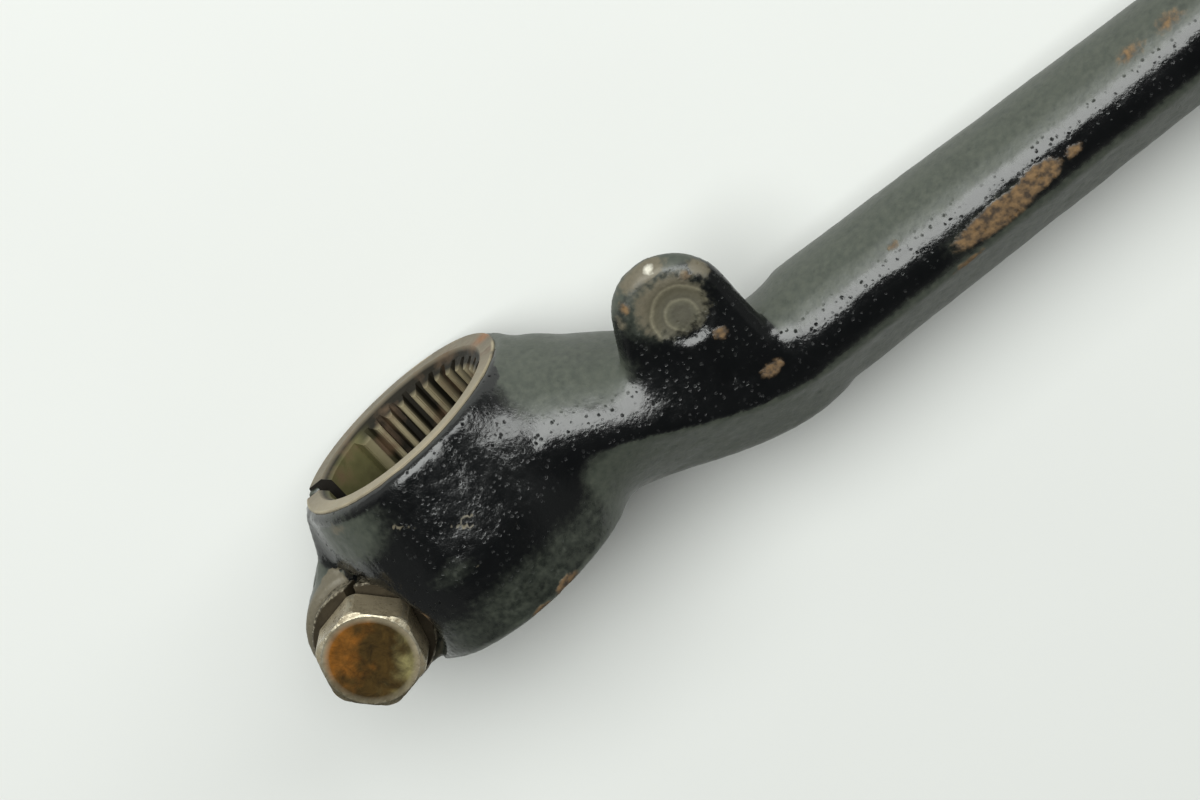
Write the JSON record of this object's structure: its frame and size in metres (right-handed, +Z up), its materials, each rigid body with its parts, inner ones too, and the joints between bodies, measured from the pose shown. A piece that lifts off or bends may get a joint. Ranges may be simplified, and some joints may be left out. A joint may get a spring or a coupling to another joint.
{
  "type": "brake pedal",
  "caption": "Forged motorcycle brake pedal: a slit hub with a serrated bore and a pinch bolt, a stop lug, and an offset arm that runs out to a grooved foot pad.",
  "frame": {"origin": "on the axis of the serrated bore, half way along the hub", "axes": "+X along the arm towards the foot pad, +Y along the bore towards the bare rim and the stop lug's side, +Z up, towards the head of the pinch bolt"},
  "size_m": [0.2565, 0.048, 0.0355],
  "materials": {
    "lever_paint": "gloss",
    "bolt_steel": "worn",
    "washer_steel": "worn"
  },
  "bodies": {
    "root": {"pedal_lever": "lever_paint", "pinch_bolt": "bolt_steel", "lock_washer": "washer_steel"}
  },
  "joints": []
}
